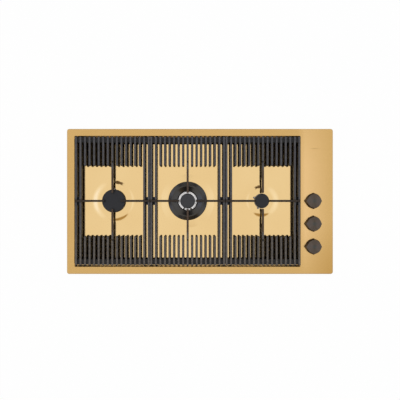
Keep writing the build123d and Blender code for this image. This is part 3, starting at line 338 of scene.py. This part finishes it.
softStuffs = {
    "blackRubber": {
        "colour": (0.018, 0.018, 0.018), "second": (0.03, 0.03, 0.03),
        "grain": 900.0, "gloss": (0.6, 0.75), "relief": 0.4,
        "on": ["left_grate_feet", "centre_grate_feet", "right_grate_feet", "knob_seals"]},
    "foamStrip": {
        "colour": (0.022, 0.022, 0.022), "second": (0.05, 0.05, 0.05),
        "grain": 1400.0, "gloss": (0.85, 0.95), "relief": 0.8, "on": ["worktop_seal"]},
    "gasketBoard": {
        "colour": (0.26, 0.25, 0.23), "second": (0.36, 0.35, 0.32),
        "grain": 1100.0, "gloss": (0.8, 0.9), "relief": 0.5, "on": ["burner_gaskets"]},
    "blackMoulding": {
        "colour": (0.02, 0.02, 0.021), "second": (0.028, 0.028, 0.03),
        "grain": 1000.0, "gloss": (0.4, 0.5), "relief": 0.2,
        "on": ["ignition_switches", "ignition_module", "cable_entry"]},
    "paleMoulding": {
        "colour": (0.70, 0.69, 0.64), "second": (0.62, 0.61, 0.57),
        "grain": 800.0, "gloss": (0.35, 0.45), "relief": 0.1, "on": ["terminal_block"]},
    "leadSheath": {
        "colour": (0.05, 0.05, 0.05), "second": (0.08, 0.08, 0.08),
        "grain": 500.0, "gloss": (0.45, 0.6), "relief": 0.15, "on": ["switch_harness", "mains_leads"]},
    "redSilicone": {
        "colour": (0.42, 0.04, 0.03), "second": (0.34, 0.03, 0.025),
        "grain": 500.0, "gloss": (0.4, 0.5), "relief": 0.15, "on": ["ignition_leads"]},
    "glazedCeramic": {
        "colour": (0.52, 0.46, 0.37), "second": (0.44, 0.38, 0.30),
        "grain": 700.0, "gloss": (0.12, 0.2), "relief": 0.05, "on": ["spark_insulators"]},
}


def makePlain(name, look, metal):
    mat, tree, shader = startFinish(name)
    place = objectSpace(tree)
    grain = noiseOf(tree, place, look["grain"], *plainRecipe["grain"])
    clouds = noiseOf(tree, place, *plainRecipe["clouds"])
    shade = fade(tree, sumOf(tree, grain, clouds, plainRecipe["cloudShare"]), plainRecipe["span"])
    colour = blendColours(tree, shade, look["colour"], look["second"])
    if "crownShade" in look:
        # painted shade: the faces deep in the crowns are painted dark, only their rims stay bright
        deep = fade(tree, axesOf(tree, place)[2], look["crownShadeHeight"])
        colour = blendColours(tree, deep, colour, look["crownShade"])
    tree.links.new(colour, shader.inputs["Base Color"])
    tree.links.new(spread(tree, grain, look["gloss"]), shader.inputs["Roughness"])
    shader.inputs["Metallic"].default_value = metal
    bumpUp(tree, shader, grain, look["relief"], plainRecipe["depth"])
    return mat


# zinc-coated sheet shows its spangle

zincSheet = {
    "colour": (0.56, 0.57, 0.57), "second": (0.42, 0.43, 0.44), "spangle": 95.0, "gloss": (0.3, 0.5),
    "ripple": (260.0, 2.0), "relief": 0.05, "depth": 0.00008,
    "on": ["base_tray", "fixing_brackets", "worktop_clamps", "gas_manifold", "tap_bonnets", "tap_rail"],
}


def makeZincSheet():
    mat, tree, shader = startFinish("zincSheet")
    place = objectSpace(tree)
    spangle = tree.nodes.new("ShaderNodeTexVoronoi")
    spangle.inputs["Scale"].default_value = zincSheet["spangle"]
    tree.links.new(place, spangle.inputs["Vector"])
    facets = tree.nodes.new("ShaderNodeSeparateColor")
    tree.links.new(spangle.outputs["Color"], facets.inputs["Color"])
    colour = blendColours(tree, facets.outputs["Red"], zincSheet["colour"], zincSheet["second"])
    gloss = spread(tree, facets.outputs["Green"], zincSheet["gloss"], (0, 1))
    tree.links.new(colour, shader.inputs["Base Color"])
    tree.links.new(gloss, shader.inputs["Roughness"])
    shader.inputs["Metallic"].default_value = 1.0
    ripple = noiseOf(tree, place, *zincSheet["ripple"])
    bumpUp(tree, shader, ripple, zincSheet["relief"], zincSheet["depth"])
    return mat


# knobs: dark turned metal, rings round each knob's own axis, a darker middle, and sides painted darker and
# browner as a painted shade

knobMetal = {
    "colour": (0.157, 0.124, 0.100), "second": (0.109, 0.087, 0.070), "rings": (1500.0, 3.0, 0.6),
    "heart": (0.088, 0.090, 0.080), "heartReach": (0.010, 0.003), "heartShare": (0, 0.8),
    # the side colour on this line is painted shade on the knobs' sides
    "side": (0.050, 0.034, 0.022), "shadedSideHeight": (0.0897, 0.0885),
    "gloss": (0.42, 0.5), "pull": 0.95, "relief": 0.1, "depth": 0.00004,
}


def makeKnobMetal(name, centre):
    mat, tree, shader = startFinish(name)
    place = objectSpace(tree, shift=(-centre[0], -centre[1]))
    x, y, z = axesOf(tree, place)
    flat = tree.nodes.new("ShaderNodeCombineXYZ")
    tree.links.new(x, flat.inputs["X"])
    tree.links.new(y, flat.inputs["Y"])
    fromAxis = lengthOf(tree, flat.outputs["Vector"])
    radial = tree.nodes.new("ShaderNodeCombineXYZ")
    tree.links.new(fromAxis, radial.inputs["X"])
    tree.links.new(z, radial.inputs["Z"])
    rings = noiseOf(tree, radial.outputs["Vector"], *knobMetal["rings"])
    colour = blendColours(tree, fade(tree, rings), knobMetal["colour"], knobMetal["second"])
    middle = spread(tree, fromAxis, knobMetal["heartShare"], knobMetal["heartReach"])
    colour = blendColours(tree, middle, colour, knobMetal["heart"])
    # painted shade: the sides below the top are painted dark brown
    colour = blendColours(tree, fade(tree, z, knobMetal["shadedSideHeight"]), colour, knobMetal["side"])
    tree.links.new(colour, shader.inputs["Base Color"])
    tree.links.new(spread(tree, rings, knobMetal["gloss"]), shader.inputs["Roughness"])
    shader.inputs["Metallic"].default_value = 1.0
    shader.inputs["Anisotropic"].default_value = knobMetal["pull"]
    tree.links.new(flat.outputs["Vector"], shader.inputs["Tangent"])
    bumpUp(tree, shader, rings, knobMetal["relief"], knobMetal["depth"])
    return mat


dress(makePanelGold(), "top_panel")
dress(makeRecessGold(), "burner_tray")
dress(makeGrateIron(), "left_grate", "centre_grate", "right_grate")
for name, look in capFinishes.items():
    dress(makeCapEnamel(name, look), *look["on"])
for name, look in plainMetals.items():
    dress(makePlain(name, look, 1.0), *look["on"])
for name, look in softStuffs.items():
    dress(makePlain(name, look, 0.0), *look["on"])
dress(makeZincSheet(), *zincSheet["on"])
for row in ("rear", "middle", "front"):
    dress(makeKnobMetal(row + "KnobMetal", middleOf(row + "_spindle")), row + "_knob")
print("finishes made")


# crisp but not razor-sharp edges on the castings

softEdges = {
    "widths": {"left_grate": 0.0007, "centre_grate": 0.0007, "right_grate": 0.0007,
               "left_crown": 0.0003, "wok_crown": 0.0003, "right_crown": 0.0003},
    "steps": 2, "sharperThan": math.radians(50),
}
for name, width in softEdges["widths"].items():
    edge = nodes[name].modifiers.new("edgeBreak", "BEVEL")
    edge.width = width
    edge.segments = softEdges["steps"]
    edge.limit_method = "ANGLE"
    edge.angle_limit = softEdges["sharperThan"]
print("edges broken")


# pale studio floor: all but white to the camera, with a trace of the cooktop's shadow

studioFloor = {
    "size": 7.0, "drop": 0.0006, "colour": (0.82, 0.82, 0.81), "second": (0.80, 0.80, 0.79),
    "speckle": (900.0, 2.0), "rough": 0.9, "whiteShare": 0.98,
}


def makeFloor():
    mesh = bpy.data.meshes.new("studioFloor")
    half = studioFloor["size"] / 2
    z = cadLow.z - studioFloor["drop"]
    corners = [(-half, -half, z), (half, -half, z), (half, half, z), (-half, half, z)]
    mesh.from_pydata(corners, [], [(0, 1, 2, 3)])
    floor = bpy.data.objects.new("studioFloor", mesh)
    bpy.context.scene.collection.objects.link(floor)
    mat, tree, shader = startFinish("studioFloor")
    speckle = fade(tree, noiseOf(tree, objectSpace(tree), *studioFloor["speckle"]))
    colour = blendColours(tree, speckle, studioFloor["colour"], studioFloor["second"])
    tree.links.new(colour, shader.inputs["Base Color"])
    shader.inputs["Roughness"].default_value = studioFloor["rough"]
    shader.inputs["Specular IOR Level"].default_value = 0.0
    glow = tree.nodes.new("ShaderNodeEmission")
    path = tree.nodes.new("ShaderNodeLightPath")
    seen = reckon(tree, "MULTIPLY", path.outputs["Is Camera Ray"], studioFloor["whiteShare"])
    mix = tree.nodes.new("ShaderNodeMixShader")
    tree.links.new(seen, mix.inputs["Fac"])
    tree.links.new(shader.outputs["BSDF"], mix.inputs[1])
    tree.links.new(glow.outputs["Emission"], mix.inputs[2])
    tree.links.new(mix.outputs["Shader"], tree.nodes["Material Output"].inputs["Surface"])
    floor.data.materials.append(mat)


makeFloor()
print("floor laid")


# room: soft white all round, white to the camera. Reflections meet it too, with patches on its ceiling:
# a wide soft lamp at the left and at the right, a warm shade at the front, two small dark things at the
# rear and dim bands over the four walls. Each lies at the X and Y of the direction a reflection looks in,
# and a later one lies over an earlier one

roomLight = {"fill": 0.5, "seen": 1.0, "low": (0.7, 0.7, 0.7), "rise": (0.2, 0.7)}
ceilingPatches = {
    "leftGlow": {"at": (-0.64, 0.02), "reach": (0.46, 0.9), "heart": 0.5, "tint": (1.08, 1.13, 1.24)},
    "rightGlow": {"at": (0.64, 0.02), "reach": (0.46, 0.9), "heart": 0.5, "tint": (1.08, 1.13, 1.24)},
    "leftLamp": {"at": (-0.61, 0.02), "reach": (0.26, 0.55), "heart": 0.25, "tint": (1.19, 1.34, 1.80)},
    "rightLamp": {"at": (0.61, 0.02), "reach": (0.22, 0.50), "heart": 0.25, "tint": (1.13, 1.22, 1.42)},
    "frontShade": {"at": (0.11, -0.555), "reach": (0.37, 0.262), "heart": 0.6, "tint": (0.50, 0.37, 0.18)},
    "rearShade": {"at": (-0.046, 0.45), "reach": (0.062, 0.125), "heart": 0.7, "tint": (0.12, 0.09, 0.06)},
    "rearSpot": {"at": (0.046, 0.46), "reach": (0.066, 0.135), "heart": 0.7, "tint": (0.16, 0.12, 0.08)},
    "rearWall": {"at": (0.0, 0.575), "reach": (0.42, 0.085), "heart": 0.7, "tint": (0.10, 0.10, 0.10)},
    "frontWall": {"at": (0.0, -0.575), "reach": (0.42, 0.085), "heart": 0.7, "tint": (0.10, 0.10, 0.10)},
    "leftWall": {"at": (-0.73, 0.0), "reach": (0.11, 0.6), "heart": 0.6, "tint": (0.4, 0.38, 0.36)},
    "rightWall": {"at": (0.73, 0.0), "reach": (0.11, 0.6), "heart": 0.6, "tint": (0.4, 0.38, 0.36)},
}
softboxes = {
    "keyBox": {"at": (-1.7, 0.5, 2.4), "size": (1.5, 1.8), "watts": 17.0, "aim": (-0.1, 0.0, 0.05)},
    "sideBox": {"at": (1.8, 0.3, 2.3), "size": (1.5, 1.8), "watts": 15.0, "aim": (0.1, 0.0, 0.05)},
}


def makeRoom():
    world = bpy.data.worlds.new("room")
    bpy.context.scene.world = world
    world.use_nodes = True
    tree = world.node_tree
    back = tree.nodes["Background"]
    direction = tree.nodes.new("ShaderNodeTexCoord").outputs["Generated"]
    upward = fade(tree, axesOf(tree, direction)[2], roomLight["rise"])
    ceiling = blendColours(tree, upward, roomLight["low"], white)
    for look in ceilingPatches.values():
        mask = patchMask(tree, direction, look["at"], look["reach"], look["heart"])
        ceiling = blendColours(tree, mask, ceiling, look["tint"])
    path = tree.nodes.new("ShaderNodeLightPath")
    mirrored = reckon(tree, "MAXIMUM", path.outputs["Is Glossy Ray"], path.outputs["Is Transmission Ray"])
    tree.links.new(blendColours(tree, mirrored, white, ceiling), back.inputs["Color"])
    met = reckon(tree, "MAXIMUM", path.outputs["Is Camera Ray"], mirrored)
    strength = spread(tree, met, (roomLight["fill"], roomLight["seen"]), (0, 1))
    tree.links.new(strength, back.inputs["Strength"])


def makeSoftbox(name, look):
    lamp = bpy.data.lights.new(name, "AREA")
    lamp.shape = "RECTANGLE"
    lamp.size, lamp.size_y = look["size"]
    lamp.energy = look["watts"]
    holder = bpy.data.objects.new(name, lamp)
    holder.location = look["at"]
    aim = Vector(look["aim"]) - Vector(look["at"])
    holder.rotation_euler = aim.to_track_quat("-Z", "Y").to_euler()
    holder.visible_glossy = False  # the ceiling's own patches stand for it in reflections
    bpy.context.scene.collection.objects.link(holder)


makeRoom()
for name, look in softboxes.items():
    makeSoftbox(name, look)
print("room and lamps set")


# camera straight above the middle of the recess, looking down; the shift frames the picture

photoCamera = {
    "foot": (-0.0427, 0.0019), "height": 2.15, "rim": 0.068, "fieldWidth": 1.406, "middle": (0.0002, 0.0051),
    "film": 36.0,
}


def makeCamera():
    lens = bpy.data.cameras.new("photoCamera")
    camera = bpy.data.objects.new("photoCamera", lens)
    bpy.context.scene.collection.objects.link(camera)
    x, y = photoCamera["foot"]
    camera.location = (x, y, photoCamera["rim"] + photoCamera["height"])
    lens.sensor_width = photoCamera["film"]
    lens.lens = photoCamera["film"] * photoCamera["height"] / photoCamera["fieldWidth"]
    lens.shift_x = (photoCamera["middle"][0] - x) / photoCamera["fieldWidth"]
    lens.shift_y = (photoCamera["middle"][1] - y) / photoCamera["fieldWidth"]
    bpy.context.scene.camera = camera


makeCamera()
bpy.context.scene.view_settings.view_transform = "Standard"
print("camera set")
